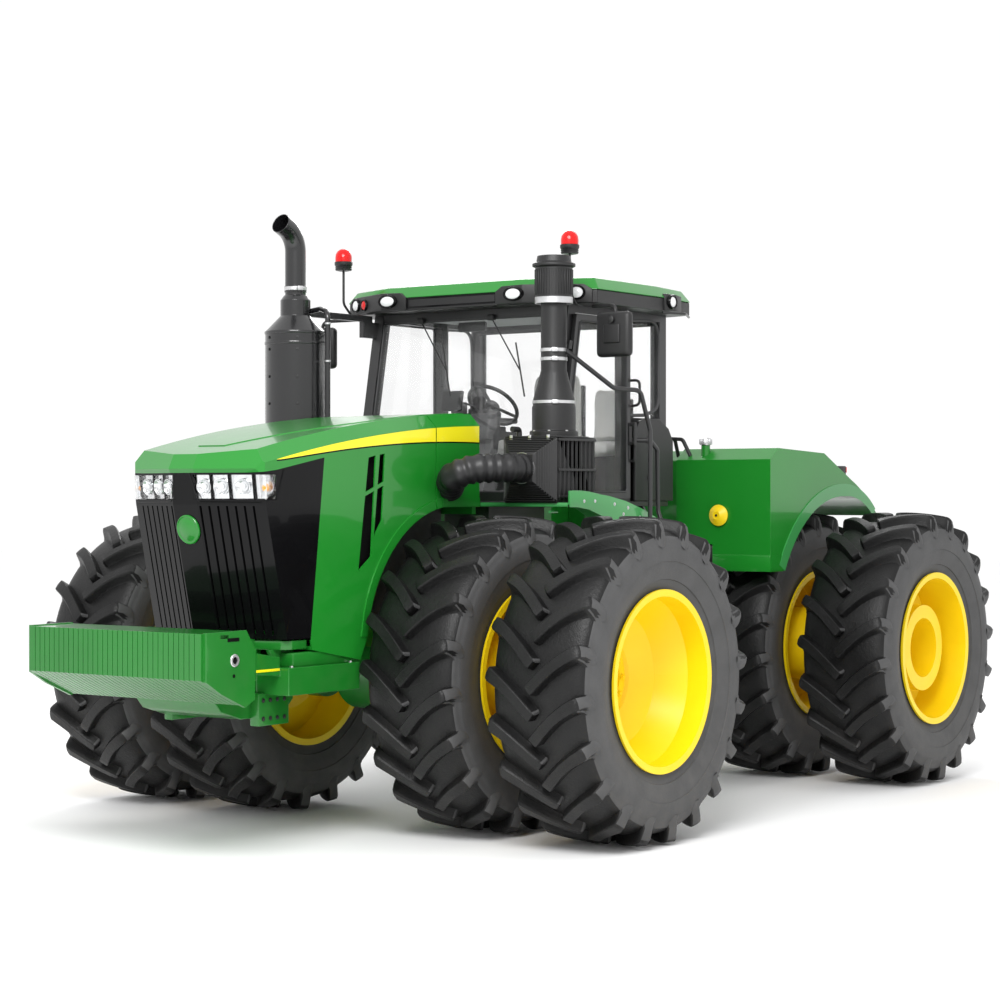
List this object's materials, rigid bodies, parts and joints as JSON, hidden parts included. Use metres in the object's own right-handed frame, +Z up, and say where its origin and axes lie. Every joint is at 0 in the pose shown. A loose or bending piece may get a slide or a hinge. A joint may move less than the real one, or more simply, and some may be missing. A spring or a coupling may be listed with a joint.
{
  "type": "farm tractor",
  "caption": "Articulated farm tractor on paired wheels, with an enclosed cab, a tilting hood, steps and front ballast weights.",
  "frame": {"origin": "on the ground, midway along the machine's length, in its middle plane", "axes": "+X to the tractor's left, +Y to its rear, +Z up; the tractor faces -Y"},
  "size_m": [4.57, 7.482, 4.1546],
  "materials": {
    "tyre": "matt moulded rubber with sharp lugs",
    "rim_yellow": "smooth glossy enamel",
    "body_green": "glossy enamel with a clear coat",
    "chassis_black": "satin black paint",
    "engine_iron": "painted rough casting",
    "exhaust_black": "satin heat-proof paint",
    "gloss_black": "high gloss moulding",
    "plastic_black": "grained moulding",
    "hose_rubber": "ribbed rubber",
    "glazing": "lightly tinted safety glass",
    "lamp_lens": "clear lens over bright reflectors",
    "lamp_red": "clear red lens",
    "rod_chrome": "polished chrome plate",
    "tank_yellow": "glossy enamel",
    "seat_cloth": "woven upholstery"
  },
  "bodies": {
    "front_half": {"front_frame": "body_green", "front_axle": "body_green", "engine_block": "engine_iron", "radiator": "chassis_black", "cowl": "body_green", "weight_bracket": "body_green", "front_weights": "body_green", "exhaust_stack": "exhaust_black", "exhaust_bracket": "chassis_black", "air_cleaner": "plastic_black", "intake_stack": "plastic_black", "intake_hose": "hose_rubber", "front_fenders": "body_green", "access_steps": "chassis_black", "cab_base": "chassis_black", "cab_frame": "chassis_black", "cab_glass": "glazing", "cab_covers": "plastic_black", "roof_cap": "body_green", "roof_fascia": "chassis_black", "seat_base": "chassis_black", "seat_cushions": "seat_cloth", "controls": "chassis_black", "steering_wheel": "plastic_black", "mirrors": "plastic_black", "beacons": "plastic_black"},
    "hood": {"hood": "body_green", "grille": "gloss_black", "headlamps": "lamp_lens"},
    "door": {"door_frame": "chassis_black", "door_glass": "glazing", "door_handle": "chassis_black"},
    "rear_half": {"rear_frame": "body_green", "rear_axle": "body_green", "fuel_tanks": "body_green", "tank_bridge": "body_green", "tank_fittings": "tank_yellow", "rear_lamps": "lamp_red", "drawbar": "chassis_black", "drawbar_support": "chassis_black", "hydraulic_outlets": "chassis_black"},
    "wheels_front_left": {"rims_front_left": "rim_yellow", "tyres_front_left": "tyre"},
    "wheels_front_right": {"rims_front_right": "rim_yellow", "tyres_front_right": "tyre"},
    "wheels_rear_left": {"rims_rear_left": "rim_yellow", "tyres_rear_left": "tyre"},
    "wheels_rear_right": {"rims_rear_right": "rim_yellow", "tyres_rear_right": "tyre"},
    "barrel_left": {"steering_barrel_left": "chassis_black"},
    "rod_left": {"steering_rod_left": "rod_chrome"},
    "barrel_right": {"steering_barrel_right": "chassis_black"},
    "rod_right": {"steering_rod_right": "rod_chrome"}
  },
  "joints": [
    {"name": "hood_tilt", "type": "hinge", "parent": "front_half", "child": "hood", "pos_m": [0, -1.351, 2.715], "axis": [-1, 0, 0], "range_deg": [0, 45]},
    {"name": "door_hinge", "type": "hinge", "parent": "front_half", "child": "door", "pos_m": [0.88, -0.39725, 2.33], "axis": [0, -0.1843, -0.9829], "range_deg": [0, 38]},
    {"name": "articulation", "type": "hinge", "parent": "front_half", "child": "rear_half", "pos_m": [0, 0.755, 1.03], "axis": [0, 0, 1], "range_deg": [-35, 35]},
    {"name": "wheel_front_left_spin", "type": "hinge", "parent": "front_half", "child": "wheels_front_left", "pos_m": [0.946, -1.201, 1.03], "axis": [1, 0, 0], "continuous": true},
    {"name": "wheel_front_right_spin", "type": "hinge", "parent": "front_half", "child": "wheels_front_right", "pos_m": [-0.946, -1.201, 1.03], "axis": [1, 0, 0], "continuous": true},
    {"name": "wheel_rear_left_spin", "type": "hinge", "parent": "rear_half", "child": "wheels_rear_left", "pos_m": [0.946, 2.711, 1.03], "axis": [1, 0, 0], "continuous": true},
    {"name": "wheel_rear_right_spin", "type": "hinge", "parent": "rear_half", "child": "wheels_rear_right", "pos_m": [-0.946, 2.711, 1.03], "axis": [1, 0, 0], "continuous": true},
    {"name": "barrel_left_swing", "type": "hinge", "parent": "front_half", "child": "barrel_left", "pos_m": [0.35, 0.355, 1.03], "axis": [0, 0, 1], "range_deg": [-18.5, 18.5]},
    {"name": "rod_left_slide", "type": "slide", "parent": "barrel_left", "child": "rod_left", "axis": [0, 1, 0], "range_m": [-0.2125, 0.2125]},
    {"name": "barrel_right_swing", "type": "hinge", "parent": "front_half", "child": "barrel_right", "pos_m": [-0.35, 0.355, 1.03], "axis": [0, 0, 1], "range_deg": [-18.5, 18.5]},
    {"name": "rod_right_slide", "type": "slide", "parent": "barrel_right", "child": "rod_right", "axis": [0, 1, 0], "range_m": [-0.2125, 0.2125]}
  ],
  "couplings": [
    {"joint": "barrel_left_swing", "follows": "articulation", "ratio": 0.5},
    {"joint": "rod_left_slide", "follows": "articulation", "m_per_rad": 0.346},
    {"joint": "barrel_right_swing", "follows": "articulation", "ratio": 0.5},
    {"joint": "rod_right_slide", "follows": "articulation", "m_per_rad": -0.346}
  ]
}
